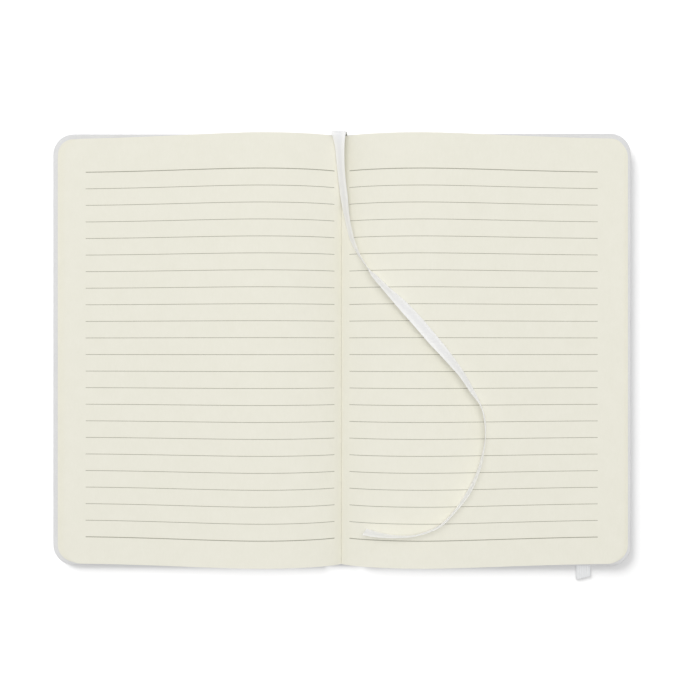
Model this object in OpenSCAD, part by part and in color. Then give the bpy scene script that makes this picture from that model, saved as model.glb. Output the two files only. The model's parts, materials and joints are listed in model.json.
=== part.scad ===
// Ruled notebook with a wrapped hard case, lying open at its middle spread.
// X runs across the spread, Y towards the head and Z up from the table.
// The origin is the middle of the spine's underside.

/* [Case] */
// Height of the covers, head to foot
case_h = 210; // [150:1:260]
// Width of each cover board, joint edge to fore-edge
board_w = 129.8; // [110:0.1:160]
// Thickness of each cover board
board_t = 1.6; // [1.2:0.1:3]
// Radius of the covers' fore-edge corners
corner_r = 10; // [5:0.5:20]
// Thickness of the covering skin
skin_t = 0.5; // [0.3:0.05:0.8]
// Width of the skin turned in over the boards
turn_in = 14; // [8:0.5:20]
// Width of the spine strip
spine_w = 11.6; // [10:0.1:16]
// Thickness of the spine strip
spine_t = 0.6; // [0.4:0.1:1]
// Width of each joint groove beside the spine strip
joint_w = 4.5; // [3.5:0.1:7]

/* [Leaves] */
// How far the covers stand past the leaves at the head
head_square = 2.8; // [1:0.1:5]
// How far the covers stand past the leaves at the foot
foot_square = 2; // [1:0.1:5]
// How far the front cover stands past the leaves at the fore-edge
left_square = 2.4; // [1:0.1:5]
// How far the back cover stands past the leaves at the fore-edge
right_square = 1.6; // [1:0.1:5]
// How much lower the leaves' head is at the fore-edges than at the crest
head_fall = 0.8; // [0:0.1:2]
// Radius of the leaves' fore-edge corners
page_r = 8; // [3:0.5:16]
// Thickness of the leaves on the left, at the fore-edge
left_stack = 4.6; // [2:0.1:6]
// Thickness of the leaves on the right, at the fore-edge
right_stack = 3.6; // [2:0.1:6]
// How far the lowest leaf on the left reaches past the top one
left_fan = 4.7; // [1:0.1:5]
// How far the lowest leaf on the right reaches past the top one
right_fan = 2.9; // [1:0.1:3]
// Height of the arched leaves' crest above the table
crest_z = 17.8; // [15:0.1:22]
// Distance of the crest from the gutter
crest_x = 38; // [30:0.5:45]
// Height of the gutter fold above the table
gutter_z = 8.8; // [8:0.1:12]
// Height of the hollow under the arched leaves, at its highest
hollow_z = 9; // [6:0.1:10]
// Distance from the gutter at which the lowest leaf meets the cover
landing_x = 90; // [75:1:100]
// Thickness of the endpapers
endpaper_t = 0.2; // [0.1:0.05:0.3]
// Margin between the endpapers and the covers' edges
endpaper_margin = 2.6; // [2:0.1:6]

/* [Ruling] */
// Distance between the ruled lines
rule_pitch = 7.97; // [5:0.01:12]
// Width of the ruled lines
rule_w = 0.22; // [0.1:0.01:0.5]
// Width of the first and last line of a page
rule_end_w = 0.34; // [0.1:0.01:0.6]
// Distance of the first line from the leaves' head
rule_head = 16.9; // [10:0.1:30]
// Least distance of the last line from the leaves' foot
rule_foot = 12.5; // [8:0.1:30]
// Distance of the lines from the gutter, left and right
rule_gutter = [3.3, 3.9];
// Distance of the lines from the top leaf's fore-edge, left and right
rule_fore = [10.5, 13];

/* [Bound back] */
// Width of the leaves' glued back, across its arch
back_w = 8.4; // [6:0.1:9.6]
// Height of the glued back's ends above the table
back_z = 3.4; // [3:0.1:4]
// Rise of the glued back's arch
back_rise = 2; // [1:0.1:2.5]
// Thickness of the spine lining
lining_t = 0.35; // [0.2:0.05:0.5]

/* [Elastic band] */
// Width of the elastic band
band_w = 7; // [4:0.5:10]
// Thickness of the elastic band
band_t = 0.6; // [0.4:0.05:0.8]
// Distance of the band's middle from the back cover's fore-edge
band_in = 22.4; // [15:0.1:40]
// Distance of the band's slots from the head and foot
slot_in = 8; // [6:0.5:12]
// Length of the slack fold past the foot
fold_out = 6.8; // [3:0.1:12]
// Length of the band's glued ends inside the cover
band_tail = 12; // [8:0.5:20]

/* [Ribbon marker] */
// Width of the ribbon
ribbon_w = 7; // [4:0.5:9]
// Thickness of the ribbon
ribbon_t = 0.4; // [0.3:0.05:0.6]

/* [Hidden] */
$fn = 64;

skin_white = [0.93, 0.93, 0.93];
page_cream = [0.92, 0.91, 0.85];
ink_grey = [0.55, 0.55, 0.5];
board_grey = [0.62, 0.6, 0.57];
cloth_white = [0.96, 0.96, 0.98];
band_grey = [0.86, 0.86, 0.87];

// Clearance of a glue line, of the leaves lying on a cover and of a cut past a face
glue = 0.02;
air = 0.1;
past = 1;
// Height of a disc or plate that only marks an end of a hull
sliver = 0.1;

// The case's levels, from the table up
board_z = skin_t + glue;
board_top = board_z + board_t;
cover_t = board_top + glue + skin_t;
endpaper_top = cover_t + glue + endpaper_t;
spine_top = board_z + spine_t;

// The case's places across the spread, from the middle out
board_x = spine_w / 2 + joint_w;
cover_x = board_x + board_w + skin_t;
hinge_x = spine_w / 2 + joint_w / 2;
hinge_z = skin_t / 2;
hinge_gap = 0.4;
window_y = case_h / 2 - turn_in;
window_x = cover_x - turn_in;

// The elastic band's places on the back cover, and the tilt it gives the cover
band_x = cover_x - band_in;
slot_y = case_h / 2 - slot_in;
slot_l = band_w + 0.6;
slot_w = band_t + 0.4;
fold_r = band_t / 2 + glue;
band_z = -glue - band_t / 2;
band_low = band_z - 2 * fold_r - band_t / 2;
band_reach = band_x - band_w / 2 - hinge_x;
back_tilt = atan2(hinge_z - band_low, band_reach)
    - asin(hinge_z / norm([band_reach, hinge_z - band_low]));

// Where the leaves lie on the covers
leaf_z = endpaper_top + air;
left_reach = cover_x - left_square;
right_reach = cover_x - right_square;
left_leaf_w = left_reach - left_fan;
right_leaf_w = right_reach - right_fan;
page_h = case_h - head_square - foot_square;
head_y = case_h / 2 - head_square;
curve_steps = 10;

// Turning points of the leaves' section, and how far each end of a curve keeps its direction
gutter = [0, gutter_z];
crest = [crest_x, crest_z];
hollow = [crest_x - 2, hollow_z];
back_end = [back_w / 2, back_z];
gutter_pull = [7, 5.4];
crest_pull = [[-16, 0], [22, 0]];
fore_pull = [-38, 0.6];
landing_pull = [-22, 0];
hollow_pull = [[-16, 0], [16, 0]];
back_pull = [4.8, 3.6];

// The ruling
ink_t = 0.05;
rule_count = floor((page_h - rule_head - rule_foot) / rule_pitch) + 1;

// Point at t along a cubic curve with ends a and d and handles b and c
function bezier(a, b, c, d, t) =
    pow(1 - t, 3) * a + 3 * pow(1 - t, 2) * t * b + 3 * (1 - t) * t * t * c + pow(t, 3) * d;

// Points along such a curve, without its last
function curve(a, b, c, d) =
    [for (i = [0 : curve_steps - 1]) bezier(a, b, c, d, i / curve_steps)];

function reversed(list) = [for (i = [len(list) - 1 : -1 : 0]) list[i]];
function mirrored(list) = [for (p = list) [-p[0], p[1]]];

// A point [distance from the gutter, height] on the back cover, after its tilt
function tilted(p) = [
    hinge_x + (p[0] - hinge_x) * cos(back_tilt) - (p[1] - hinge_z) * sin(back_tilt),
    hinge_z + (p[0] - hinge_x) * sin(back_tilt) + (p[1] - hinge_z) * cos(back_tilt)];

// Outline of a bent strip of even thickness t that follows a path
function strip(path, t) =
    let (n = len(path),
         way = [for (i = [0 : n - 2]) (path[i + 1] - path[i]) / norm(path[i + 1] - path[i])],
         mitre = [for (i = [0 : n - 1])
             let (a = way[max(i - 1, 0)], b = way[min(i, n - 2)])
             [-a[1] - b[1], a[0] + b[0]] / (1 + a * b)])
    concat([for (i = [0 : n - 1]) path[i] + mitre[i] * t / 2],
           [for (i = [n - 1 : -1 : 0]) path[i] - mitre[i] * t / 2]);

// Where the highest and the lowest leaf of each side end
left_top = [left_leaf_w, leaf_z + left_stack];
left_low = [left_reach, leaf_z];
right_top = tilted([right_leaf_w, leaf_z + right_stack]);
right_low = tilted([right_reach, leaf_z]);

// The highest leaf's section, from the gutter to its end at the fore-edge
function page_top(end) =
    concat(curve(gutter, gutter + gutter_pull, crest + crest_pull[0], crest),
           curve(crest, crest + crest_pull[1], end + fore_pull, end),
           [end]);

// The leaves' section on one side, gutter to fore-edge and back to the glued back.
// landing is where the lowest leaf comes down on the cover.
function leaves_side(top_end, low_end, landing) =
    concat(page_top(top_end), [low_end],
           curve(landing, landing + landing_pull, hollow + hollow_pull[1], hollow),
           curve(hollow, hollow + hollow_pull[0], back_end + back_pull, back_end));

left_side = leaves_side(left_top, left_low, [landing_x, leaf_z]);
right_side = leaves_side(right_top, right_low, tilted([landing_x, leaf_z]));

// How far out the slanted fore-edges are at a height, also above and below the leaves
function slant(low, high, z) = low[0] - (z - low[1]) * (low[0] - high[0]) / (high[1] - low[1]);
function left_edge(z) = slant(left_low, left_top, z);
function right_edge(z) = slant(right_low, right_top, z);

// A ruled line's section on a page's top, between two distances from the gutter
function rule_section(top, from, to) =
    let (line = concat([[from, lookup(from, top)]],
                       [for (p = top) if (p[0] > from && p[0] < to) p],
                       [[to, lookup(to, top)]]))
    concat([for (p = line) p + [0, glue]], [for (p = reversed(line)) p + [0, glue + ink_t]]);

// The glued back's arch, from the right end to the left
back_r = (pow(back_w / 2, 2) + pow(back_rise, 2)) / (2 * back_rise);
back_centre = back_z + back_rise - back_r;
back_angle = asin(back_w / 2 / back_r);
arch_steps = 12;
function arch(r) = [for (i = [0 : arch_steps])
    let (a = back_angle * (1 - 2 * i / arch_steps)) [r * sin(a), back_centre + r * cos(a)]];

// The lining's path: under the glued back, then down to the spine skin in each joint
lining_foot = board_z + lining_t / 2;
lining_side = [[spine_w / 2 + 0.15, back_z - 1.6], [spine_w / 2 + 0.5, lining_foot + 0.3],
               [spine_w / 2 + 0.9, lining_foot], [hinge_x - 0.5, lining_foot]];

// The ribbon's route from inside the spine, over the head and down the right page.
// Each point holds x, y, z and the ribbon's roll from lying flat, in degrees.
ribbon_route = [
    [-0.5, 94, 2.9, 0], [-0.5, 100, 2.9, 0], [-0.5, 103.4, 4, 0], [-0.5, 104.1, 8, 8],
    [-1.1, 103.3, 13.4, 24], [-0.8, 98, 13.9, 56], [-0.1, 85, 13.5, 60], [1.4, 72, 12.5, 62],
    [2.9, 62, 13.8, 72], [4.8, 53.4, 14.9, 75], [8.3, 45, 16.9, 85], [12.7, 38.1, 18.4, 84],
    [15.7, 34.4, 18.9, 73], [20.8, 28.8, 19.8, 67], [28.7, 20.7, 20.1, 47], [35.6, 13.2, 20.3, 40],
    [42.8, 4.8, 20.3, 40], [48.8, -2.1, 20.4, 50], [56.1, -11.2, 20.2, 64], [61.3, -19.4, 19.7, 71],
    [65.3, -26, 19.3, 86], [67.4, -34, 19, 82], [67.4, -43, 19, 86], [65.5, -52.9, 19.2, 91],
    [63.1, -59.8, 19.6, 90], [59.3, -67.3, 20, 87], [53.3, -75.3, 20.6, 94], [45.9, -82.4, 21.3, 95],
    [35.6, -86.4, 21.7, 97], [25.8, -87.3, 20.9, 92], [17.4, -86.7, 19.6, 82], [11, -85.6, 17.8, 72]];
ribbon_rings_between = 2;

// Point at t between the second and third of four points, on a smooth curve through all
function through(p, q, r, s, t) =
    0.5 * (2 * q + (r - p) * t + (2 * p - 5 * q + 4 * r - s) * t * t
           + (3 * q - p - 3 * r + s) * t * t * t);

function ribbon_path() =
    let (p = ribbon_route, n = len(p))
    concat([for (i = [0 : n - 2], k = [0 : ribbon_rings_between - 1])
        through(p[max(i - 1, 0)], p[i], p[i + 1], p[min(i + 2, n - 1)], k / ribbon_rings_between)],
        [p[n - 1]]);

// Half of the ribbon's section: width and thickness shares of its eight corners
ribbon_corners = [[1, 0.4], [0.7, 1], [-0.7, 1], [-1, 0.4], [-1, -0.4], [-0.7, -1], [0.7, -1],
                  [1, -0.4]];

// A cover or spine layer: a plate from x0 to x1 with the fore-edge corners rounded by r
module layer(x0, x1, half_h, r, z0, z1)
    translate([0, 0, z0])
        linear_extrude(z1 - z0) {
            translate([x0, -half_h])
                square([x1 - r - x0, 2 * half_h]);
            translate([x0, r - half_h])
                square([x1 - x0, 2 * (half_h - r)]);
            for (side = [-1, 1])
                translate([x1 - r, side * (half_h - r)])
                    circle(r);
        }

// A plain block between two corners
module span(low, high)
    translate(low)
        cube(high - low);

// Places a right-hand cover piece as part of the front or the back cover
module front_side() mirror([1, 0, 0]) children();
module back_side()
    translate([hinge_x, 0, hinge_z])
        rotate([0, -back_tilt, 0])
            translate([-hinge_x, 0, -hinge_z])
                children();

module cover_board()
    layer(board_x, cover_x - skin_t - glue, case_h / 2 - skin_t - glue,
          corner_r - skin_t - glue, board_z, board_top);

module cover_skin()
    difference() {
        union() {
            layer(board_x - skin_t - glue, cover_x, case_h / 2, corner_r, 0, cover_t);
            span([hinge_x + hinge_gap, -case_h / 2, 0], [board_x, case_h / 2, 2 * skin_t + glue]);
        }
        layer(board_x - glue, cover_x - skin_t, case_h / 2 - skin_t, corner_r - skin_t,
              skin_t, board_top + glue);
        span([hinge_x - past, -window_y, skin_t], [window_x, window_y, cover_t + past]);
    }

module cover_endpaper() {
    fold_x = board_x - glue;
    difference() {
        layer(board_x, cover_x - endpaper_margin, case_h / 2 - endpaper_margin,
              corner_r - endpaper_margin, board_top + glue, endpaper_top);
        difference() {
            span([0, -case_h, 0], [cover_x, case_h, cover_t + glue]);
            span([-past, glue - window_y, -past], [window_x - glue, window_y - glue, cover_t + past]);
        }
        span([0, glue + endpaper_t - window_y, board_top + glue + endpaper_t],
             [window_x - glue - endpaper_t, window_y - glue - endpaper_t, cover_t + past]);
    }
    span([fold_x - endpaper_t, glue - window_y, board_z],
         [fold_x, window_y - glue, board_top + glue + endpaper_t]);
    span([fold_x - glue, glue - window_y, board_top + glue],
         [board_x + glue, window_y - glue, board_top + glue + endpaper_t]);
    span([hinge_x + hinge_gap, glue - window_y, board_z],
         [fold_x, window_y - glue, board_z + endpaper_t]);
}

// The slots that the elastic band passes through, from under the cover up to a height
module band_slots(top)
    for (side = [-1, 1])
        translate([band_x - slot_l / 2, side * slot_y - slot_w / 2, -past])
            cube([slot_l, slot_w, past + top]);

// The shallow seats of the band's glued ends in the top of the board
module band_seats()
    for (side = [-1, 1])
        translate([band_x, side * (slot_y - (band_tail + past) / 2), board_top])
            cube([slot_l, band_tail + past, 2 * (band_t + glue)], center = true);

// The leaves' outline from above: round corners, slanted fore-edges and a head that falls outward
module trimmed_edges()
    hull()
        for (z = [0, crest_z + past]) {
            translate([-crest_x, head_y - page_h, z])
                cube([2 * crest_x, page_h, sliver]);
            for (x = [page_r - left_edge(z), right_edge(z) - page_r],
                 y = [head_y - head_fall - page_r, head_y - page_h + page_r])
                translate([x, y, z])
                    cylinder(r = page_r, h = sliver, $fn = 32);
        }

module text_block() color(page_cream)
    intersection() {
        translate([0, head_y, 0])
            rotate([90, 0, 0])
                linear_extrude(page_h)
                    polygon(concat(right_side, arch(back_r), reversed(mirrored(left_side))));
        trimmed_edges();
    }

module ruling() color(ink_grey)
    for (i = [0 : rule_count - 1])
        translate([0, head_y - rule_head - i * rule_pitch, 0])
            rotate([90, 0, 0])
                linear_extrude(i == 0 || i == rule_count - 1 ? rule_end_w : rule_w, center = true) {
                    polygon(mirrored(rule_section(page_top(left_top), rule_gutter[0],
                                                  left_leaf_w - rule_fore[0])));
                    polygon(rule_section(page_top(right_top), rule_gutter[1],
                                         right_leaf_w - rule_fore[1]));
                }

module spine_board() color(board_grey)
    span([-spine_w / 2, skin_t + glue - case_h / 2, board_z],
         [spine_w / 2, case_h / 2 - skin_t - glue, spine_top]);

module spine_skin() color(skin_white)
    difference() {
        union() {
            span([-hinge_x, -case_h / 2, 0], [hinge_x, case_h / 2, 2 * skin_t + glue]);
            span([-spine_w / 2 - skin_t - glue, -case_h / 2, 0],
                 [spine_w / 2 + skin_t + glue, case_h / 2, spine_top + glue + skin_t]);
        }
        span([-spine_w / 2 - glue, skin_t - case_h / 2, skin_t],
             [spine_w / 2 + glue, case_h / 2 - skin_t, spine_top + glue]);
        span([-hinge_x - past, -window_y, skin_t], [hinge_x + past, window_y, cover_t + past]);
    }

module spine_lining() color(cloth_white)
    translate([0, window_y - past, 0])
        rotate([90, 0, 0])
            linear_extrude(2 * (window_y - past))
                polygon(strip(concat(reversed(lining_side), arch(back_r - glue - lining_t / 2),
                                     mirrored(lining_side)), lining_t));

module ribbon() color(cloth_white) {
    path = ribbon_path();
    last = len(path) - 1;
    sides = len(ribbon_corners);
    points = [for (i = [0 : last])
        let (here = [path[i][0], path[i][1], path[i][2]],
             step = path[min(i + 1, last)] - path[max(i - 1, 0)],
             way = [step[0], step[1], step[2]] / norm([step[0], step[1], step[2]]),
             flat = norm([way[0], way[1]]) < 0.4 ? [1, 0, 0]
                 : [-way[1], way[0], 0] / norm([way[0], way[1]]),
             across = flat * cos(path[i][3]) + cross(way, flat) * sin(path[i][3]),
             out = cross(way, across))
        for (c = ribbon_corners)
            here + across * c[0] * ribbon_w / 2 + out * c[1] * ribbon_t / 2];
    polyhedron(points, concat(
        [[for (k = [0 : sides - 1]) k]],
        [for (i = [0 : last - 1], k = [0 : sides - 1], half = [0, 1])
            let (a = i * sides + k, b = i * sides + (k + 1) % sides)
            half == 0 ? [a, a + sides, b + sides] : [a, b + sides, b]],
        [[for (k = [sides - 1 : -1 : 0]) last * sides + k]]));
}

module front_board() color(board_grey) front_side() cover_board();
module front_skin() color(skin_white) front_side() cover_skin();
module front_endpaper() color(page_cream) front_side() cover_endpaper();

module back_board() color(board_grey)
    back_side()
        difference() {
            cover_board();
            band_slots(board_top + past);
            band_seats();
        }

module back_skin() color(skin_white)
    back_side()
        difference() {
            cover_skin();
            band_slots(board_z);
        }

module back_endpaper() color(page_cream) back_side() cover_endpaper();

module elastic_band() color(band_grey) {
    tail_z = board_top - glue - band_t / 2;
    fold_y = -case_h / 2 - fold_out + band_t / 2 + fold_r;
    low_z = band_z - 2 * fold_r;
    fold = [for (a = [0 : 30 : 180]) [fold_y - fold_r * sin(a), low_z + fold_r - fold_r * cos(a)]];
    path = concat(
        [[slot_y - band_tail, tail_z], [slot_y, tail_z], [slot_y, band_z],
         [2 * band_tail - slot_y, band_z], [band_tail / 2 - slot_y, low_z]],
        fold,
        [[-slot_y, band_z], [-slot_y, tail_z], [band_tail - slot_y, tail_z]]);
    back_side()
        translate([band_x - band_w / 2, 0, 0])
            rotate([90, 0, 90])
                linear_extrude(band_w)
                    polygon(strip(path, band_t));
}

text_block();
ruling();
spine_board();
spine_skin();
spine_lining();
ribbon();
front_board();
front_skin();
front_endpaper();
back_board();
back_skin();
back_endpaper();
elastic_band();
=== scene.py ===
import json
import math
import random

import bmesh
import bpy
import numpy as np
from mathutils import Matrix, Vector


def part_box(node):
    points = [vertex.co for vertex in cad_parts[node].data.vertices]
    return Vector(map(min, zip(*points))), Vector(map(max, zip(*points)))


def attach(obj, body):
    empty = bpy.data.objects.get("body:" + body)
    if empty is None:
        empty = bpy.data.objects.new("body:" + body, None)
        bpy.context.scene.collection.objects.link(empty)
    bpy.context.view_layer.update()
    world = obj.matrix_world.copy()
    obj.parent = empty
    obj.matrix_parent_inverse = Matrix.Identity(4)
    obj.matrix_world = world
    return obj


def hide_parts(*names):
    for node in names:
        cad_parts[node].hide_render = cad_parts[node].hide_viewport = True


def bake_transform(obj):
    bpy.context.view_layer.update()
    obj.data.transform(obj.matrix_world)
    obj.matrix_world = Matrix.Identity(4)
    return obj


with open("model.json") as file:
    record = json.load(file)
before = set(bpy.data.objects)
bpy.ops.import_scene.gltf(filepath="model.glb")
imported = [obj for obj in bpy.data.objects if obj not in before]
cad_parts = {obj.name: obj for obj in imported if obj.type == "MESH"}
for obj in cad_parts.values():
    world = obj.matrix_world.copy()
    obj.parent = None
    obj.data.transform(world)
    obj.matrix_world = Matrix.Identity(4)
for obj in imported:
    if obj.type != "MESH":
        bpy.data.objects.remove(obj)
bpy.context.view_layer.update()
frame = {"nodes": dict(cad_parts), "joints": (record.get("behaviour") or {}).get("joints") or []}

# Ruled notebook with a white wrapped case, lying open at its middle spread.
# Lengths are in millimetres, as in the part's drawing, until make_mesh() turns them to metres.
MM = 0.001
random.seed(7)


def corners(node):
    """Lowest and highest corner of a frame node, in millimetres."""
    low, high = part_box(node)
    return low / MM, high / MM


# Places read from the frame
case_low, case_high = corners("front_skin")
board_low, board_high = corners("front_board")
back_board_high = corners("back_board")[1]
spine_high = corners("spine_board")[1]
block_low, block_high = corners("text_block")
HALF_H = case_high.y
COVER_X = -case_low.x
COVER_T = case_high.z
BOARD_X = -board_high.x
BOARD_EDGE = -board_low.x
BOARD_TOP = board_high.z
SPINE_HALF = spine_high.x
SPINE_TOP = spine_high.z
CREST_Z = block_high.z
PAGE_HEAD = block_high.y
PAGE_FOOT = block_low.y
HINGE_X = frame["joints"][1]["pos_m"][0] / MM
HINGE_Z = frame["joints"][1]["pos_m"][2] / MM
BACK_TILT = math.asin((back_board_high.z - BOARD_TOP) / (BOARD_EDGE - HINGE_X))

# The case
SKIN_T = 0.5
TURN_IN = 14.0
TURN_IN_RINGS = (TURN_IN, 9, 5, 2.5)
CORNER_R = 10.0
EDGE_R = 0.9
# Half the least flat stretch between the skin's two rounded edges
EDGE_FLAT = 0.01
GLUE = 0.02
GROOVE = 0.22
GROOVE_HALF_W = 1.9
ENDPAPER_T = 0.2
ENDPAPER_MARGIN = 2.6
ENDPAPER_STEP = 1.2
# Where the skin starts and ends its step down beside the spine strip and the boards
SKIN_STEP = (0.1, 0.9)
# Columns across one half of the case, close together over the joint groove
CASE_COLUMNS = [0, 2, 4, 5.4, 5.9, 6.3, 6.7, 7.2, 7.7, 8.05, 8.4, 8.9, 9.4, 9.8, 10.2, 10.6, 11.2,
                12.5, 15, 20, *range(30, 121, 10)]
FORE_STEPS = 12
CORNER_TURNS = [math.radians(a) for a in range(0, 91, 9)]
EDGE_TURNS = [math.radians(a) for a in range(0, 91, 18)]
CLOSE = 0.001
# Section of an endpaper, x and height, from the leaves down the joint and up onto the board
ENDPAPER_SECTION = [(4.7, 3.15), (5.6, 2.5), (6.4, 1.75), (7.0, 1.25), (7.7, 1.02), (8.6, 0.92),
                    (9.5, 0.95), (10.0, 1.25), (10.3, 1.85), (10.7, 2.3), (11.6, BOARD_TOP + 0.24)]
# Its columns past that, and its rows as shares of the half height, close over the turn-ins' step
ENDPAPER_COLUMNS = [15, 25, 40, 60, 80, 100, 115, 122, 124, 125, 126, 127, 128, 129.2]
ENDPAPER_ROWS = [1, 0.985, 0.95, 0.92, 0.905, 0.895, 0.885, 0.875, 0.865, 0.85, 0.8, 0.65, 0.45,
                 0.2, 0]

# The leaves
AIR = 0.1
LEAF_Z = BOARD_TOP + GLUE + SKIN_T + GLUE + ENDPAPER_T + AIR
PAGE_R = 8.0
HEAD_FALL = 0.8
CREST_X = 38.0
GUTTER_Z = 8.8
HOLLOW_Z = 9.0
LANDING_X = 90.0
SLIT_X = 0.01
SHEET_T = 0.086
BACK_HALF_W = 4.2
BACK_Z = 3.4
BACK_RISE = 2.0
BACK_R = (BACK_HALF_W ** 2 + BACK_RISE ** 2) / (2 * BACK_RISE)
BACK_CENTRE = BACK_Z + BACK_RISE - BACK_R
BACK_ANGLE = math.asin(BACK_HALF_W / BACK_R)
ROOT_SHARE = 0.07
CURVE_STEPS = 40
LEAF_COLUMNS = 46
CORNER_STEPS = 8
LEAF_STRAY = 0.1
# How far in from the covers' fore-edges the lowest and the highest leaf end
LOW_LEAF_IN = {"left": 2.4, "right": 1.6}
TOP_LEAF_IN = {"left": 7.1, "right": 4.5}
# Thickness of the leaves at the fore-edge, and how many there are
STACK = {"left": 4.6, "right": 3.6}
LEAVES = {"left": 46, "right": 36}
# How far the highest leaf's curves keep their direction at the gutter, crest and fore-edge
GUTTER_PULL = (7, 5.4)
CREST_PULL = (16, 22)
FORE_PULL = (38, 0.6)
# The same for the lowest leaf, at the glued back, over the hollow and where it lands
BACK_HANDLE = (9, 7)
HOLLOW_FROM = 20
HOLLOW_X = CREST_X - 2
HOLLOW_TO = CREST_X + 14
LANDING_PULL = 22

# The ruling
RULE_FIRST_Y = 85.3
RULE_PITCH = 7.97
RULE_COUNT = 23
RULE_FROM = {"left": 3.3, "right": 3.9}
RULE_TO = {"left": 123.0, "right": 123.1}
RULE_W = 0.22
RULE_END_W = 0.34
RULE_LIFT = 0.012
RULE_T = 0.02
RULE_COLUMNS = 60

# The elastic band
BAND_W = 7.0
BAND_T = 0.6
BAND_RIBS = 6
BAND_RIB_DEPTH = 0.15
BAND_X = COVER_X - 22.4
BAND_TAIL = 12.0
BAND_SLOT_Y = HALF_H - 8.0
BAND_SKEW = 0.27
BAND_SKEW_FROM = 1.0
BAND_FOLD_OUT = 6.5
BAND_BEND_R = 0.45
BAND_RINGS = 420
BAND_COLUMNS = 60
SLOT_L = 7.6
SLOT_W = 1.0

# The ribbon marker: x, y, z and roll from lying flat, in degrees
RIBBON_W = 7.0
RIBBON_T = 0.3
RIBBON_STEPS = 8
RIBBON_COLUMNS = 16
# The firm woven edges start at this share of the half width, and the satin between is thinner
SELVEDGE_FROM = 0.88
SATIN_SHARE = 0.8
# With a smaller share of level run than this the ribbon climbs, and keeps its last direction across
CLIMB_RUN = 0.4
RIBBON_ROUTE = [
    (-0.5, 94, 2.9, 0), (-0.5, 100, 2.9, 0), (-0.5, 103.4, 4, -18), (-0.5, 104.1, 8, -13),
    (-1.1, 103.3, 13.4, 9), (-0.8, 98, 13.9, 46), (-0.1, 85, 13.5, 60), (1.4, 72, 12.5, 62),
    (2.9, 62, 13.8, 72), (4.8, 53.4, 14.9, 75), (8.3, 45, 16.9, 85), (12.7, 38.1, 18.4, 96),
    (15.7, 34.4, 18.9, 112), (20.8, 28.8, 19.8, 118), (28.7, 20.7, 20.1, 136),
    (35.6, 13.2, 20.3, 141), (42.8, 4.8, 20.3, 140), (48.8, -2.1, 20.4, 133),
    (56.1, -11.2, 20.2, 120), (61.3, -19.4, 19.7, 112),
    (65.3, -26, 19.3, 100), (67.4, -34, 19, 102), (67.4, -43, 19, 98), (65.5, -52.9, 19.2, 91),
    (63.1, -59.8, 19.6, 90), (59.3, -67.3, 20, 87), (53.3, -75.3, 20.6, 94), (45.9, -82.4, 21.3, 95),
    (35.6, -86.4, 21.7, 97), (25.8, -87.3, 20.9, 92), (17.4, -86.7, 19.6, 82), (11, -85.6, 17.8, 72),
]

# The camera looks straight down, as the photograph does
CAMERA_AT = (4.15, -0.2, 431.3)
CAMERA_LENS = 45.26
SENSOR_W = 36.0

# Light: shares of the plain level that come from all round, from the key lamp and, on the
# floor alone, from a low lamp that gives the photograph's drop shadow
SKY_SHARE = 0.6
KEY_SHARE = 0.42
KEY_TOWARDS = (-0.04, 0.22, 1.0)
KEY_DISTANCE = 1.6
KEY_SIZE = 1.2
DROP_SHARE = 1.55
DROP_TOWARDS = (-0.85, 1.0, 0.56)
DROP_SPREAD = math.radians(44)
FLOOR_ALBEDO = 0.3
FLOOR_GLOW = 0.31


# Procedural materials

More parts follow.
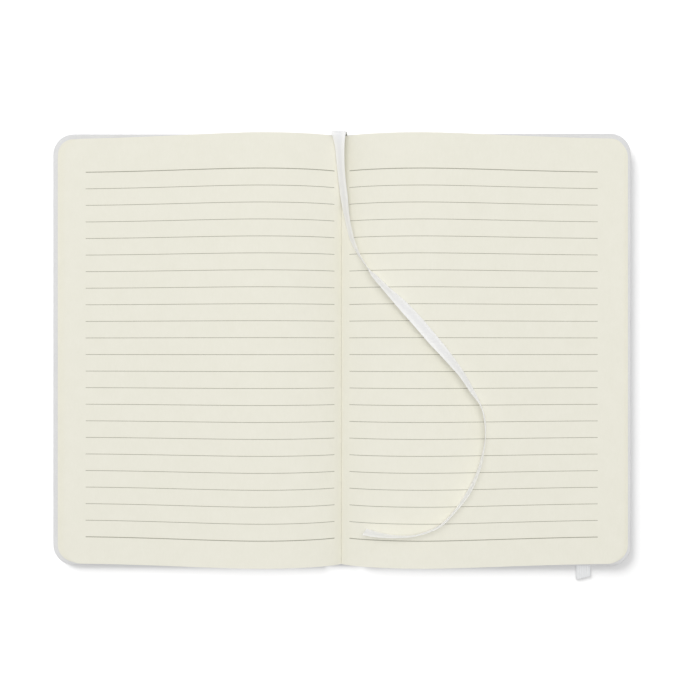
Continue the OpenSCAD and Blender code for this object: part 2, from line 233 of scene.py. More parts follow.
class Finish:
    """A Principled material whose colour, roughness and bump come from its own nodes."""

    def __init__(self, name, specular, coordinates="Object"):
        self.material = bpy.data.materials.new(name)
        self.material.use_nodes = True
        self.nodes = self.material.node_tree.nodes
        self.links = self.material.node_tree.links
        self.shader = self.nodes["Principled BSDF"]
        self.shader.inputs["Specular IOR Level"].default_value = specular
        self.place = self.nodes.new("ShaderNodeTexCoord").outputs[coordinates]
        self.last_bump = None

    def stretched(self, scale):
        """The coordinates multiplied by a number for each axis."""
        node = self.nodes.new("ShaderNodeMapping")
        node.inputs["Scale"].default_value = scale
        self.links.new(self.place, node.inputs["Vector"])
        return node.outputs["Vector"]

    def noise(self, scale, detail=2.0, roughness=0.5, stretch=(1, 1, 1)):
        node = self.nodes.new("ShaderNodeTexNoise")
        node.inputs["Scale"].default_value = scale
        node.inputs["Detail"].default_value = detail
        node.inputs["Roughness"].default_value = roughness
        self.links.new(self.stretched(stretch), node.inputs["Vector"])
        return node.outputs["Fac"]

    def cells(self, scale, smoothness=0.6):
        node = self.nodes.new("ShaderNodeTexVoronoi")
        node.feature = "SMOOTH_F1"
        node.inputs["Scale"].default_value = scale
        node.inputs["Smoothness"].default_value = smoothness
        self.links.new(self.place, node.inputs["Vector"])
        return node.outputs["Distance"]

    def waves(self, axis, count):
        """Even waves across one coordinate, count of them to each unit."""
        node = self.nodes.new("ShaderNodeTexWave")
        node.bands_direction = axis
        node.wave_profile = "SIN"
        # One wave of this node is a twentieth of pi at scale 1
        node.inputs["Scale"].default_value = count * math.pi / 10
        self.links.new(self.place, node.inputs["Vector"])
        return node.outputs["Fac"]

    def mixed(self, first, second, share=0.5):
        node = self.nodes.new("ShaderNodeMix")
        node.inputs["Factor"].default_value = share
        self.links.new(first, node.inputs["A"])
        self.links.new(second, node.inputs["B"])
        return node.outputs["Result"]

    def ramp(self, factor, low, high, start=0.3, end=0.7):
        node = self.nodes.new("ShaderNodeValToRGB")
        node.color_ramp.elements[0].position = start
        node.color_ramp.elements[0].color = (*low, 1)
        node.color_ramp.elements[1].position = end
        node.color_ramp.elements[1].color = (*high, 1)
        self.links.new(factor, node.inputs["Fac"])
        return node.outputs["Color"]

    def colour(self, factor, low, high, start=0.3, end=0.7):
        self.links.new(self.ramp(factor, low, high, start, end), self.shader.inputs["Base Color"])

    def rough(self, factor, low, high):
        node = self.nodes.new("ShaderNodeMapRange")
        node.inputs["To Min"].default_value = low
        node.inputs["To Max"].default_value = high
        self.links.new(factor, node.inputs["Value"])
        self.links.new(node.outputs["Result"], self.shader.inputs["Roughness"])

    def bump(self, height, depth, strength=1.0):
        """Adds relief of a depth in millimetres over any that is there."""
        node = self.nodes.new("ShaderNodeBump")
        node.inputs["Strength"].default_value = strength
        node.inputs["Distance"].default_value = depth * MM
        self.links.new(height, node.inputs["Height"])
        if self.last_bump:
            self.links.new(self.last_bump, node.inputs["Normal"])
        self.last_bump = node.outputs["Normal"]
        self.links.new(self.last_bump, self.shader.inputs["Normal"])


def srgb(red, green, blue):
    """A colour of 0 to 255 as the linear values that a shader takes."""
    def linear(value):
        share = value / 255
        return share / 12.92 if share <= 0.04045 else ((share + 0.055) / 1.055) ** 2.4
    return linear(red), linear(green), linear(blue)


def paper_finish(name, low, high):
    """Uncoated paper: fine fibres, a cloudy look-through and a dull surface."""
    finish = Finish(name, specular=0.25)
    cloud = finish.noise(110, detail=4, roughness=0.65)
    fibre = finish.noise(900, detail=3, roughness=0.7, stretch=(1, 0.35, 1))
    finish.colour(finish.mixed(cloud, fibre, 0.45), low, high)
    finish.rough(fibre, 0.8, 0.97)
    finish.bump(fibre, 0.012, 0.5)
    finish.bump(finish.noise(2600, detail=2), 0.006, 0.5)
    return finish.material


def ink_finish():
    """Thin offset ink that lets the paper's tooth show."""
    finish = Finish("ruling_ink", specular=0.2)
    tooth = finish.noise(1500, detail=2)
    finish.colour(tooth, srgb(148, 146, 131), srgb(164, 162, 147))
    finish.rough(tooth, 0.7, 0.9)
    finish.bump(tooth, 0.004)
    return finish.material


def skin_finish():
    """White coated covering: a fine pebble grain that is a little smoother on its high spots."""
    finish = Finish("case_skin", specular=0.4)
    pebble = finish.cells(1500)
    drift = finish.noise(60, detail=3)
    finish.colour(finish.mixed(drift, pebble, 0.35), srgb(219, 219, 220), srgb(227, 227, 227))
    finish.rough(finish.mixed(pebble, drift, 0.4), 0.42, 0.7)
    finish.bump(drift, 0.03, 0.4)
    finish.bump(pebble, 0.02, 0.6)
    return finish.material


def board_finish():
    """Grey bookbinding board with flecks of its waste paper."""
    finish = Finish("grey_board", specular=0.2)
    fleck = finish.noise(1200, detail=4, roughness=0.8)
    finish.colour(fleck, srgb(150, 146, 138), srgb(190, 186, 178), 0.35, 0.6)
    finish.rough(fleck, 0.85, 1.0)
    finish.bump(fleck, 0.05, 0.6)
    return finish.material


def gauze_finish():
    """Open woven gauze, stiff with glue."""
    finish = Finish("spine_gauze", specular=0.3)
    warp = finish.waves("X", 1400)
    weft = finish.waves("Y", 1400)
    weave = finish.mixed(warp, weft)
    finish.colour(weave, srgb(205, 203, 196), srgb(240, 239, 234))
    finish.rough(weave, 0.7, 0.9)
    finish.bump(weave, 0.12, 0.8)
    return finish.material


def satin_finish():
    """White satin ribbon: close weft threads over the width, a painted highlight along both edges
    with painted shade down the middle, and a soft sheen.
    """
    finish = Finish("ribbon_satin", specular=0.5, coordinates="UV")
    weft = finish.waves("X", 3600)
    slub = finish.noise(40, detail=3, stretch=(60, 900, 1))
    # Painted highlight along both edges and painted shade down the middle: one wave across the width,
    # mixed into the threads' colour below.
    painted_edge_light_and_shade = finish.waves("Y", 1000 / RIBBON_W)
    threads = finish.mixed(finish.mixed(weft, slub), painted_edge_light_and_shade)
    finish.colour(threads, srgb(240, 240, 242), srgb(254, 254, 253))
    finish.rough(slub, 0.38, 0.55)
    finish.bump(weft, 0.02, 0.5)
    finish.bump(slub, 0.02, 0.4)
    finish.shader.inputs["Subsurface Weight"].default_value = 0.4
    finish.shader.inputs["Subsurface Radius"].default_value = (1.0, 1.0, 1.0)
    finish.shader.inputs["Subsurface Scale"].default_value = 2 * RIBBON_T * MM
    finish.shader.inputs["Sheen Weight"].default_value = 0.5
    finish.shader.inputs["Sheen Roughness"].default_value = 0.4
    return finish.material


def elastic_finish():
    """Pale woven elastic: fine cross threads between the ribs."""
    finish = Finish("woven_elastic", specular=0.3, coordinates="UV")
    pick = finish.waves("X", 1800)
    thread = finish.waves("Y", 2600)
    weave = finish.mixed(pick, thread, 0.4)
    finish.colour(weave, srgb(226, 227, 229), srgb(243, 244, 245))
    finish.rough(weave, 0.65, 0.85)
    finish.bump(weave, 0.06, 0.7)
    finish.shader.inputs["Sheen Weight"].default_value = 0.15
    return finish.material


paper = paper_finish("leaf_paper", srgb(235, 233, 219), srgb(239, 237, 224))
end_sheet = paper_finish("endpaper_sheet", srgb(232, 230, 217), srgb(238, 236, 224))
ink = ink_finish()
skin = skin_finish()
board = board_finish()
gauze = gauze_finish()
satin = satin_finish()
elastic = elastic_finish()


# Meshes

def make_mesh(name, points, faces, material, sharp=40, uvs=None):
    """An object of points in millimetres, its faces turned outward and smooth up to an angle."""
    mesh = bpy.data.meshes.new(name)
    mesh.from_pydata([Vector(p) * MM for p in points], [], faces)
    if uvs:
        layer = mesh.uv_layers.new(name="along_across")
        for loop in mesh.loops:
            layer.data[loop.index].uv = uvs[loop.vertex_index]
    shape = bmesh.new()
    shape.from_mesh(mesh)
    bmesh.ops.remove_doubles(shape, verts=shape.verts, dist=0.0005 * MM)
    bmesh.ops.recalc_face_normals(shape, faces=shape.faces)
    shape.to_mesh(mesh)
    shape.free()
    mesh.shade_smooth()
    mesh.set_sharp_from_angle(angle=math.radians(sharp))
    mesh.materials.append(material)
    piece = bpy.data.objects.new(name, mesh)
    bpy.context.scene.collection.objects.link(piece)
    return piece


def apply_modifiers(piece):
    """Replaces the piece's mesh by what its modifiers make of it."""
    graph = bpy.context.evaluated_depsgraph_get()
    made = bpy.data.meshes.new_from_object(piece.evaluated_get(graph))
    piece.modifiers.clear()
    piece.data = made


def thicken(piece, thickness, sharp):
    """Gives a sheet its thickness below its outer face, with crisp edges."""
    modifier = piece.modifiers.new("thickness", "SOLIDIFY")
    modifier.thickness = thickness * MM
    modifier.offset = -1
    modifier.use_even_offset = True
    apply_modifiers(piece)
    piece.data.set_sharp_from_angle(angle=math.radians(sharp))


def tilted(x, z):
    """A point on the back cover, after the small tilt that the band's fold gives it."""
    run, rise = x - HINGE_X, z - HINGE_Z
    return (HINGE_X + run * math.cos(BACK_TILT) - rise * math.sin(BACK_TILT),
            HINGE_Z + run * math.sin(BACK_TILT) + rise * math.cos(BACK_TILT))


def level(x, z):
    """A point on the front cover, which lies flat."""
    return x, z


def smooth_step(value, start, end):
    share = min(max((value - start) / (end - start), 0.0), 1.0)
    return share * share * (3 - 2 * share)


# Leaves: one thin closed sheet each, fanned between the block's lowest and highest lines

def side_of_block(name, sign, place):
    """What sets one side of the leaves apart; place() puts a point on its cover."""
    return {"sign": sign, "place": place, "stack": STACK[name], "leaves": LEAVES[name],
            "leaf_w": COVER_X - TOP_LEAF_IN[name], "reach": COVER_X - LOW_LEAF_IN[name]}


SIDES = {"left": side_of_block("left", -1, level), "right": side_of_block("right", 1, tilted)}


def bezier(a, b, c, d):
    """Points along a cubic curve with ends a and d and handles b and c."""
    t = np.linspace(0, 1, CURVE_STEPS + 1)[:, None]
    a, b, c, d = (np.array(p, float) for p in (a, b, c, d))
    return (1 - t) ** 3 * a + 3 * (1 - t) ** 2 * t * b + 3 * (1 - t) * t * t * c + t ** 3 * d


def run_lengths(line):
    """Distance along a line at each of its points."""
    return np.concatenate([[0], np.cumsum(np.linalg.norm(np.diff(line, axis=0), axis=1))])


def points_at(line, distances):
    """Points at given distances along a line."""
    reached = run_lengths(line)
    return np.stack([np.interp(distances, reached, line[:, i]) for i in range(line.shape[1])], 1)


def top_line(side):
    """Section of the highest leaf, from the glued back up the gutter and out to the fore-edge."""
    end = side["place"](side["leaf_w"], LEAF_Z + side["stack"])
    crest = (CREST_X, CREST_Z)
    rise = bezier((SLIT_X, GUTTER_Z), (GUTTER_PULL[0], GUTTER_Z + GUTTER_PULL[1]),
                  (CREST_X - CREST_PULL[0], CREST_Z), crest)
    fall = bezier(crest, (CREST_X + CREST_PULL[1], CREST_Z),
                  (end[0] - FORE_PULL[0], end[1] + FORE_PULL[1]), end)
    return np.concatenate([[(SLIT_X, BACK_Z + BACK_RISE)], rise, fall[1:]])


def low_line(side):
    """Section of the lowest leaf, from the glued back over the hollow and out along the cover."""
    landing = side["place"](LANDING_X, LEAF_Z)
    end = side["place"](side["reach"], LEAF_Z)
    turn = (HOLLOW_X, HOLLOW_Z)
    rise = bezier((BACK_HALF_W, BACK_Z), BACK_HANDLE, (HOLLOW_FROM, HOLLOW_Z), turn)
    fall = bezier(turn, (HOLLOW_TO, HOLLOW_Z), (landing[0] - LANDING_PULL, landing[1]), landing)
    return np.concatenate([rise, fall[1:], [end]])


def leaf_line(side, share):
    """Section of the leaf at a share of the way from the lowest to the highest."""
    steps = np.linspace(0, 1, 4 * CURVE_STEPS + 1)
    low, top = (points_at(line, steps * run_lengths(line)[-1])
                for line in (low_line(side), top_line(side)))
    line = low + (top - low) * share
    angle = BACK_ANGLE * (1 - share)
    root = np.array([BACK_R * math.sin(angle), BACK_CENTRE + BACK_R * math.cos(angle)])
    pull = np.clip(1 - steps / ROOT_SHARE, 0, 1) ** 2
    return line + (root - line[0]) * pull[:, None]


def under(line, depth):
    """The line moved down off its own upper face by a depth."""
    way = np.gradient(line, axis=0)
    way /= np.linalg.norm(way, axis=1)[:, None]
    return line + np.stack([way[:, 1], -way[:, 0]], 1) * depth


def leaf_sheet(side, share, stray_x, stray_y):
    """Points and faces of one closed sheet with rounded fore-edge corners."""
    line = leaf_line(side, share)
    length = run_lengths(line)[-1] + stray_x
    turns = np.radians(np.linspace(0, 90, CORNER_STEPS + 1))
    straight = np.linspace(0, length - PAGE_R, LEAF_COLUMNS, endpoint=False)
    distances = np.concatenate([straight, length - PAGE_R + PAGE_R * np.sin(turns)])
    cut = np.concatenate([np.zeros(LEAF_COLUMNS), PAGE_R - PAGE_R * np.cos(turns)])
    upper = points_at(line, distances)
    lower = under(upper, SHEET_T)
    corner_x = upper[LEAF_COLUMNS][0]
    points = []
    for (x, z), (low_x, low_z), trim in zip(upper, lower, cut):
        fall = HEAD_FALL * min(max((x - CREST_X) / (corner_x - CREST_X), 0), 1)
        head = PAGE_HEAD - trim - fall + stray_y
        foot = PAGE_FOOT + trim + stray_y
        points += [(side["sign"] * x, head, z), (side["sign"] * x, foot, z),
                   (side["sign"] * low_x, foot, low_z), (side["sign"] * low_x, head, low_z)]
    rings = len(upper)
    faces = [(0, 1, 2, 3), tuple(4 * rings - 4 + k for k in (3, 2, 1, 0))]
    for i in range(rings - 1):
        for k in range(4):
            near, far = 4 * i + k, 4 * i + (k + 1) % 4
            faces.append((near, near + 4, far + 4, far))
    return points, faces


def joined(parts):
    """Several lists of points and faces as one."""
    points, faces = [], []
    for part_points, part_faces in parts:
        base = len(points)
        points += part_points
        faces += [tuple(base + i for i in face) for face in part_faces]
    return points, faces


def make_leaves(name):
    """All the leaves of one side; the highest lies exactly on the block's top."""
    side = SIDES[name]
    sheets = []
    for i in range(1, side["leaves"] + 1):
        stray = 0 if i == side["leaves"] else LEAF_STRAY
        sheets.append(leaf_sheet(side, i / side["leaves"], random.uniform(-stray, 0),
                                 random.uniform(-stray, stray)))
    return make_mesh(name + "_leaves", *joined(sheets), paper, sharp=30)


def rule_strip(side, start, end, y, width):
    """One printed line as a thin closed strip on the highest leaf."""
    line = top_line(side)
    xs = np.linspace(start, end, RULE_COLUMNS)
    page = np.stack([xs, np.interp(xs, line[1:, 0], line[1:, 1])], 1)
    top, bottom = under(page, -RULE_LIFT - RULE_T), under(page, -RULE_LIFT)
    points = []
    for (x, z), (low_x, low_z) in zip(top, bottom):
        points += [(side["sign"] * x, y + width / 2, z), (side["sign"] * x, y - width / 2, z),
                   (side["sign"] * low_x, y - width / 2, low_z),
                   (side["sign"] * low_x, y + width / 2, low_z)]
    faces = [(0, 1, 2, 3), tuple(4 * RULE_COLUMNS - 4 + k for k in (3, 2, 1, 0))]
    for i in range(RULE_COLUMNS - 1):
        for k in range(4):
            near, far = 4 * i + k, 4 * i + (k + 1) % 4
            faces.append((near, near + 4, far + 4, far))
    return points, faces


def make_ruling():
    """The printed lines of both pages, the first and last of each a little heavier."""
    strips = []
    for name, side in SIDES.items():
        for i in range(RULE_COUNT):
            width = RULE_END_W if i in (0, RULE_COUNT - 1) else RULE_W
            strips.append(rule_strip(side, RULE_FROM[name], RULE_TO[name],
                                     RULE_FIRST_Y - i * RULE_PITCH, width))
    return make_mesh("ruled_lines", *joined(strips), ink)


# Case: the covering skin of each cover with its half of the spine

def case_top(x):
    """Height of the skin's turned-in upper face, across the spine, joint and cover."""
    joint_top = 2 * SKIN_T + GLUE
    near, far = SKIN_STEP
    return float(np.interp(x, (SPINE_HALF + near, SPINE_HALF + far, BOARD_X - far, BOARD_X - near),
                           (SPINE_TOP + GLUE + SKIN_T, joint_top, joint_top, COVER_T)))


def case_under(x):
    """Height of the skin's underside, which a shallow pressed groove lifts along the joint."""
    share = max(0.0, 1 - abs(x - HINGE_X) / GROOVE_HALF_W)
    return GROOVE * share * share * (3 - 2 * share)


def case_outline(offset):
    """Points round head, fore-edge and foot at a distance in from the edge, each with its column."""
    round_x = COVER_X - max(CORNER_R, offset)
    round_y = HALF_H - max(CORNER_R, offset)
    radius = max(CORNER_R - offset, 0)
    fore = [1 - i / FORE_STEPS for i in range(1, 2 * FORE_STEPS)]
    half = [(x, HALF_H - offset, x) for x in CASE_COLUMNS]
    half += [(round_x + radius * math.sin(a), round_y + radius * math.cos(a), COVER_X)
             for a in CORNER_TURNS]
    side = [(COVER_X - offset if radius else round_x, round_y * share, COVER_X) for share in fore]
    return half + side + [(x, -y, column) for x, y, column in reversed(half)]


def case_shell():
    """Points and faces of the skin's outer face for the right-hand half of the case."""
    rings = [(reach, 0, 0, 1) for reach in TURN_IN_RINGS]
    rings += [(0, 1 - math.sin(a), 1 - math.cos(a), 1) for a in EDGE_TURNS]
    rings += [(0, 1 - math.sin(a), 1 - math.cos(a), 0) for a in reversed(EDGE_TURNS)]
    rings += [(reach, 0, 0, 0) for reach in reversed(TURN_IN_RINGS)]
    points = []
    for reach, inward, drop, is_top in rings:
        flat = case_outline(reach)
        for i, (x, y, column) in enumerate(flat):
            top, bottom = case_top(column), case_under(column)
            radius = min(EDGE_R, (top - bottom) / 2 - EDGE_FLAT)
            if not reach:
                x, y, column = case_outline(inward * radius)[i]
            points.append((x, y, top - radius * drop if is_top else bottom + radius * drop))
    count = len(flat)
    faces = []
    for r in range(len(rings) - 1):
        for i in range(count - 1):
            a = r * count + i
            faces.append((a, a + 1, a + 1 + count, a + count))
    return joined([(points, faces), case_floor(flat)])


def case_floor(ring):
    """The flat middle of the underside, inside the last ring."""
    fore = [p for p in ring if abs(p[0] - (COVER_X - TURN_IN)) < CLOSE]
    ys = sorted({round(p[1], 4) for p in fore}, reverse=True)
    xs = sorted({round(p[0], 4) for p in ring})
    points = [(x, y, case_under(x)) for y in ys for x in xs]
    wide = len(xs)
    faces = [(j * wide + i, j * wide + i + 1, (j + 1) * wide + i + 1, (j + 1) * wide + i)
             for j in range(len(ys) - 1) for i in range(wide - 1)]
    return points, faces


def place_cover(piece, name):
    """Moves a right-hand cover piece to its own side: mirrored in front, tilted at the back."""
    if name == "front":
        piece.data.transform(Matrix.Scale(-1, 4, (1, 0, 0)))
        piece.data.flip_normals()
        return
    pivot = Matrix.Translation((HINGE_X * MM, 0, HINGE_Z * MM))
    turn = Matrix.Rotation(-BACK_TILT, 4, "Y")
    tilt = pivot @ turn @ pivot.inverted()
    for vertex in piece.data.vertices:
        share = smooth_step(vertex.co.x / MM, SPINE_HALF, BOARD_X)
        vertex.co = vertex.co.lerp(tilt @ vertex.co, share)


def cut_slots(piece):
    """Cuts the two slots that the elastic passes through."""
    for end in (-1, 1):
        bpy.ops.mesh.primitive_cube_add(size=MM, location=(BAND_X * MM, end * BAND_SLOT_Y * MM, 0))
        cutter = bpy.context.object
        cutter.scale = (SLOT_L, SLOT_W, 8 * SKIN_T)
        bpy.context.view_layer.update()
        modifier = piece.modifiers.new("slot", "BOOLEAN")
        modifier.object = cutter
        modifier.solver = "EXACT"
        apply_modifiers(piece)
        bpy.data.objects.remove(cutter)


def make_case(name):
    """The covering skin of one cover and half the spine; it bends along the joint groove."""
    points, faces = case_shell()
    piece = make_mesh(name + "_case_skin", points, faces, skin)
    thicken(piece, SKIN_T, 50)
    if name == "back":
        cut_slots(piece)
    place_cover(piece, name)
    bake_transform(piece)
    return piece


def make_endpaper(name):
    """The pasted-down sheet: over the board and turn-ins, down the joint and up to the leaves."""
    edge = COVER_X - ENDPAPER_MARGIN
    round_r = CORNER_R - ENDPAPER_MARGIN
    columns = [(x, 0) for x, z in ENDPAPER_SECTION] + [(x, 0) for x in ENDPAPER_COLUMNS]
    columns += [(edge - round_r + round_r * math.sin(a), round_r - round_r * math.cos(a))
                for a in CORNER_TURNS]
    rows = ENDPAPER_ROWS + [-row for row in reversed(ENDPAPER_ROWS[:-1])]
    half = HALF_H - ENDPAPER_MARGIN
    points = []
    for x, trim in columns:
        for row in rows:
            y = row * (half - trim)
            inward = min(COVER_X - x, HALF_H - abs(y))
            over = smooth_step(inward, TURN_IN + ENDPAPER_STEP / 2, TURN_IN - ENDPAPER_STEP / 2)
            low = float(np.interp(x, *zip(*ENDPAPER_SECTION)))
            high = max(low, case_top(x) + GLUE + ENDPAPER_T)
            points.append((x, y, low + (high - low) * over))
    wide = len(rows)
    faces = [(i * wide + j, i * wide + j + 1, (i + 1) * wide + j + 1, (i + 1) * wide + j)
             for i in range(len(columns) - 1) for j in range(wide - 1)]
    piece = make_mesh(name + "_end_sheet", points, faces, end_sheet)
    if piece.data.polygons[0].normal.z < 0:
        piece.data.flip_normals()
    thicken(piece, ENDPAPER_T, 60)
    place_cover(piece, name)
    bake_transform(piece)
    return piece


# Ribbon and elastic: closed bands swept along a route

def sweep(name, route, across, out, profile, material, sharp):
    """A band whose section, as shares of across and out, follows the route."""
    count = len(profile)
    reached = run_lengths(np.array(route))
    points, uvs = [], []
    for here, side, up, distance in zip(route, across, out, reached):
        for width, height in profile:
            points.append(here + side * width + up * height)
            uvs.append((distance * MM, width * MM))
    faces = [tuple(range(count)), tuple((len(route) - 1) * count + k for k in reversed(range(count)))]
    for i in range(len(route) - 1):
        for k in range(count):
            near, far = i * count + k, i * count + (k + 1) % count
            faces.append((near, near + count, far + count, far))
    return make_mesh(name, points, faces, material, sharp, uvs)


def band_profile(half_w, half_t, columns, relief):
    """Round-edged section of a woven band; relief(share) thins it between its ribs."""
    shares = [-math.cos(math.pi * i / columns) for i in range(columns + 1)]
    edge = [(share * half_w, half_t * relief(share) * (1 - share ** 8) ** 0.5) for share in shares]
    return edge + [(width, -height) for width, height in reversed(edge[1:-1])]


def through(p, q, r, s, t):
    """Point at t between the second and third of four points, on a smooth curve through all."""
    return 0.5 * (2 * q + (r - p) * t + (2 * p - 5 * q + 4 * r - s) * t * t
                  + (3 * q - p - 3 * r + s) * t * t * t)


def ribbon_path():
    """The ribbon's route with its roll, as a smooth run of close points."""
    stops = [np.array(p, float) for p in RIBBON_ROUTE]
    last = len(stops) - 1
    path = []
    for i in range(last):
        for k in range(RIBBON_STEPS):
            path.append(through(stops[max(i - 1, 0)], stops[i], stops[i + 1],
                                stops[min(i + 2, last)], k / RIBBON_STEPS))
    return np.array(path + [stops[last]])


def make_ribbon():
    """The satin marker, with a firmer woven edge along both sides."""
    path = ribbon_path()
    route = path[:, :3]
    across, out = [], []
    flat = np.array([1.0, 0, 0])
    for i, roll in enumerate(np.radians(path[:, 3])):
        step = route[min(i + 1, len(path) - 1)] - route[max(i - 1, 0)]
        way = step / np.linalg.norm(step)
        level_run = math.hypot(way[0], way[1])
        if level_run >= CLIMB_RUN:
            turned = np.array([-way[1], way[0], 0]) / level_run
            flat = turned if turned @ flat > 0 else -turned
        side = flat * math.cos(roll) + np.cross(way, flat) * math.sin(roll)
        across.append(side)
        out.append(np.cross(way, side))
    profile = band_profile(RIBBON_W / 2, RIBBON_T / 2, RIBBON_COLUMNS,
                           lambda share: 1.0 if abs(share) > SELVEDGE_FROM else SATIN_SHARE)
    piece = sweep("satin_ribbon", route, across, out, profile, satin, 50)
    return piece


def rounded(path, radius, steps=6):
    """A path in (y, z) with its corners turned into short curves."""
    path = [np.array(p, float) for p in path]
    smooth = [path[0]]
    for before, corner, after in zip(path, path[1:], path[2:]):
        reach = min(radius, np.linalg.norm(before - corner) / 2, np.linalg.norm(after - corner) / 2)
        a = corner + (before - corner) / np.linalg.norm(before - corner) * reach
        b = corner + (after - corner) / np.linalg.norm(after - corner) * reach
        for i in range(steps + 1):
            t = i / steps
            smooth.append((1 - t) ** 2 * a + 2 * (1 - t) * t * corner + t * t * b)
    return np.array(smooth + [path[-1]])


def make_elastic():
    """The slack band: in through the foot slot, doubled past the foot, up to the head slot."""
    lap = BAND_T + 2 * GLUE
    tail_z = BOARD_TOP - GLUE - BAND_T / 2
    high_z = -GLUE - BAND_T / 2
    fold_y = -HALF_H - BAND_FOLD_OUT + lap / 2
    fold = [(fold_y - lap / 2 * math.sin(a), high_z - lap / 2 - lap / 2 * math.cos(a))
            for a in np.radians(np.arange(0, 181, 22.5))]
    path = [(BAND_SLOT_Y - BAND_TAIL, tail_z), (BAND_SLOT_Y, tail_z), (BAND_SLOT_Y, high_z),
            (2 * BAND_TAIL - BAND_SLOT_Y, high_z), (BAND_TAIL / 2 - BAND_SLOT_Y, high_z - lap),
            *fold, (-BAND_SLOT_Y, high_z), (-BAND_SLOT_Y, tail_z),
            (BAND_TAIL - BAND_SLOT_Y, tail_z)]
    line = rounded(path, BAND_BEND_R)
    line = points_at(line, np.linspace(0, run_lengths(line)[-1], BAND_RINGS))
    way = np.gradient(line, axis=0)
    way /= np.linalg.norm(way, axis=1)[:, None]
    route = [np.array((BAND_X, y, z)) for y, z in line]
    out = [np.array((0, -dz, dy)) for dy, dz in way]
    across = [np.array((1.0, 0, 0))] * len(route)
    profile = band_profile(BAND_W / 2, BAND_T / 2, BAND_COLUMNS,
                           lambda share: 1 - BAND_RIB_DEPTH * (1 + math.cos(
                               math.pi * BAND_RIBS * (share + 1))))
    piece = sweep("closing_elastic", route, across, out, profile, elastic, 60)
    for vertex in piece.data.vertices:
        past = smooth_step(-vertex.co.y / MM, HALF_H - BAND_SKEW_FROM, -fold_y)
        vertex.co.y += (vertex.co.x - BAND_X * MM) * BAND_SKEW * past
    place_cover(piece, "back")
    return piece


# Building the notebook

ribbon = make_ribbon()
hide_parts("ribbon")
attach(ribbon, "book_block")

left_leaves = make_leaves("left")
right_leaves = make_leaves("right")
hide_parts("text_block")
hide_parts("text_block")
for leaves in (left_leaves, right_leaves):
    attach(leaves, "book_block")

ruling = make_ruling()
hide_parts("ruling")
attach(ruling, "book_block")

front_case = make_case("front")
back_case = make_case("back")
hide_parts("front_skin", "spine_skin")
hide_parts("back_skin", "spine_skin")
front_sheet = make_endpaper("front")
back_sheet = make_endpaper("back")
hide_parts("front_endpaper")
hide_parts("back_endpaper")

band = make_elastic()
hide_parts("elastic_band")
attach(band, "back_cover")

for node, material in (("front_board", board), ("back_board", board), ("spine_board", board),
                       ("spine_lining", gauze)):
    frame["nodes"][node].data.materials.clear()
    frame["nodes"][node].data.materials.append(material)


# Camera, floor and light

def make_camera():
    data = bpy.data.cameras.new("camera")
    data.sensor_width = SENSOR_W
    data.lens = CAMERA_LENS
    data.clip_start = 0.01
    camera = bpy.data.objects.new("camera", data)
    camera.location = Vector(CAMERA_AT) * MM
    bpy.context.scene.collection.objects.link(camera)
    bpy.context.scene.camera = camera


def make_floor():
    """A white floor that glows a little to the camera, so that only the shadow is left on it."""
    half = 2000
    drop = -0.05
    points = [(-half, -half, drop), (half, -half, drop), (half, half, drop), (-half, half, drop)]
    material = bpy.data.materials.new("floor")
    material.use_nodes = True
    nodes, links = material.node_tree.nodes, material.node_tree.links
    shader = nodes["Principled BSDF"]
    shader.inputs["Base Color"].default_value = (FLOOR_ALBEDO, FLOOR_ALBEDO, FLOOR_ALBEDO, 1)
    shader.inputs["Roughness"].default_value = 1.0
    shader.inputs["Specular IOR Level"].default_value = 0.0
    shader.inputs["Emission Color"].default_value = (1, 1, 1, 1)
    links.new(seen_directly(nodes, links, FLOOR_GLOW), shader.inputs["Emission Strength"])
    floor = make_mesh("floor_sheet", points, [(0, 1, 2, 3)], material)
    return floor


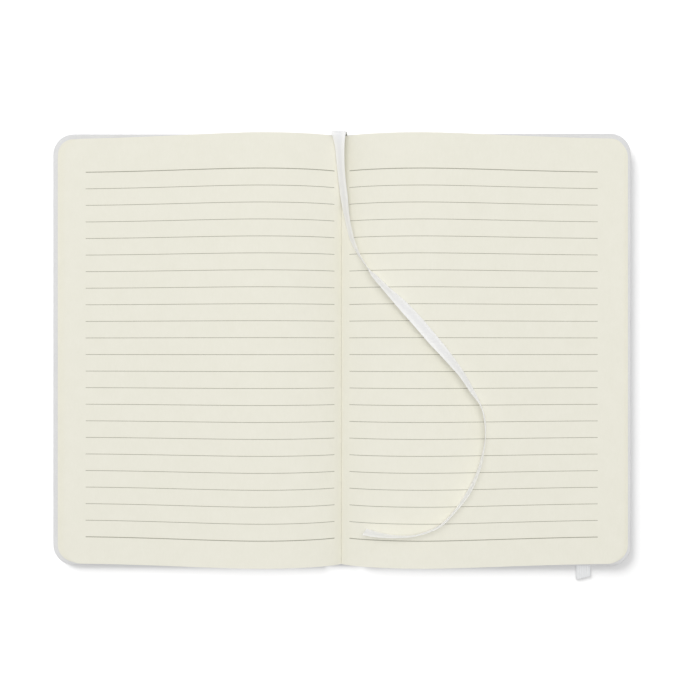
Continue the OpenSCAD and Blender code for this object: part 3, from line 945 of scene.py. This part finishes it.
def seen_directly(nodes, links, strength):
    """The strength for camera, mirror and glass rays, and none for light on the object."""
    path = nodes.new("ShaderNodeLightPath")
    total = path.outputs["Is Camera Ray"]
    for kind in ("Is Glossy Ray", "Is Transmission Ray"):
        either = nodes.new("ShaderNodeMath")
        either.operation = "MAXIMUM"
        links.new(total, either.inputs[0])
        links.new(path.outputs[kind], either.inputs[1])
        total = either.outputs[0]
    scaled = nodes.new("ShaderNodeMath")
    scaled.operation = "MULTIPLY"
    scaled.inputs[1].default_value = strength
    links.new(total, scaled.inputs[0])
    return scaled.outputs[0]


def make_sky():
    """Even light from all round, which looks plain white where it is seen."""
    world = bpy.data.worlds.new("sky")
    bpy.context.scene.world = world
    world.use_nodes = True
    nodes, links = world.node_tree.nodes, world.node_tree.links
    background = nodes["Background"]
    background.inputs["Color"].default_value = (1, 1, 1, 1)
    total = nodes.new("ShaderNodeMath")
    total.operation = "ADD"
    total.inputs[1].default_value = SKY_SHARE
    links.new(seen_directly(nodes, links, 1 - SKY_SHARE), total.inputs[0])
    links.new(total.outputs[0], background.inputs["Strength"])


def make_drop_lamp(floor, blockers):
    """A soft low lamp on the upper left that lights the floor alone, past the covers."""
    towards = Vector(DROP_TOWARDS).normalized()
    data = bpy.data.lights.new("drop", "SUN")
    data.angle = DROP_SPREAD
    data.energy = DROP_SHARE * math.pi / towards.z
    lamp = bpy.data.objects.new("drop", data)
    lamp.rotation_euler = towards.to_track_quat("Z", "Y").to_euler()
    bpy.context.scene.collection.objects.link(lamp)
    lit = bpy.data.collections.new("lit_by_drop")
    lit.objects.link(floor)
    lamp.light_linking.receiver_collection = lit
    blocking = bpy.data.collections.new("blocking_drop")
    for piece in blockers:
        blocking.objects.link(piece)
    lamp.light_linking.blocker_collection = blocking


def make_key():
    """A large soft lamp nearly overhead, a little towards the head."""
    towards = Vector(KEY_TOWARDS).normalized()
    data = bpy.data.lights.new("key", "AREA")
    data.shape = "DISK"
    data.size = KEY_SIZE
    data.energy = KEY_SHARE * math.pi ** 2 * KEY_DISTANCE ** 2 / towards.z
    lamp = bpy.data.objects.new("key", data)
    lamp.location = towards * KEY_DISTANCE
    lamp.rotation_euler = towards.to_track_quat("Z", "Y").to_euler()
    bpy.context.scene.collection.objects.link(lamp)


make_camera()
make_drop_lamp(make_floor(), (front_case, back_case, band))
make_sky()
make_key()
bpy.context.scene.view_settings.view_transform = "Standard"
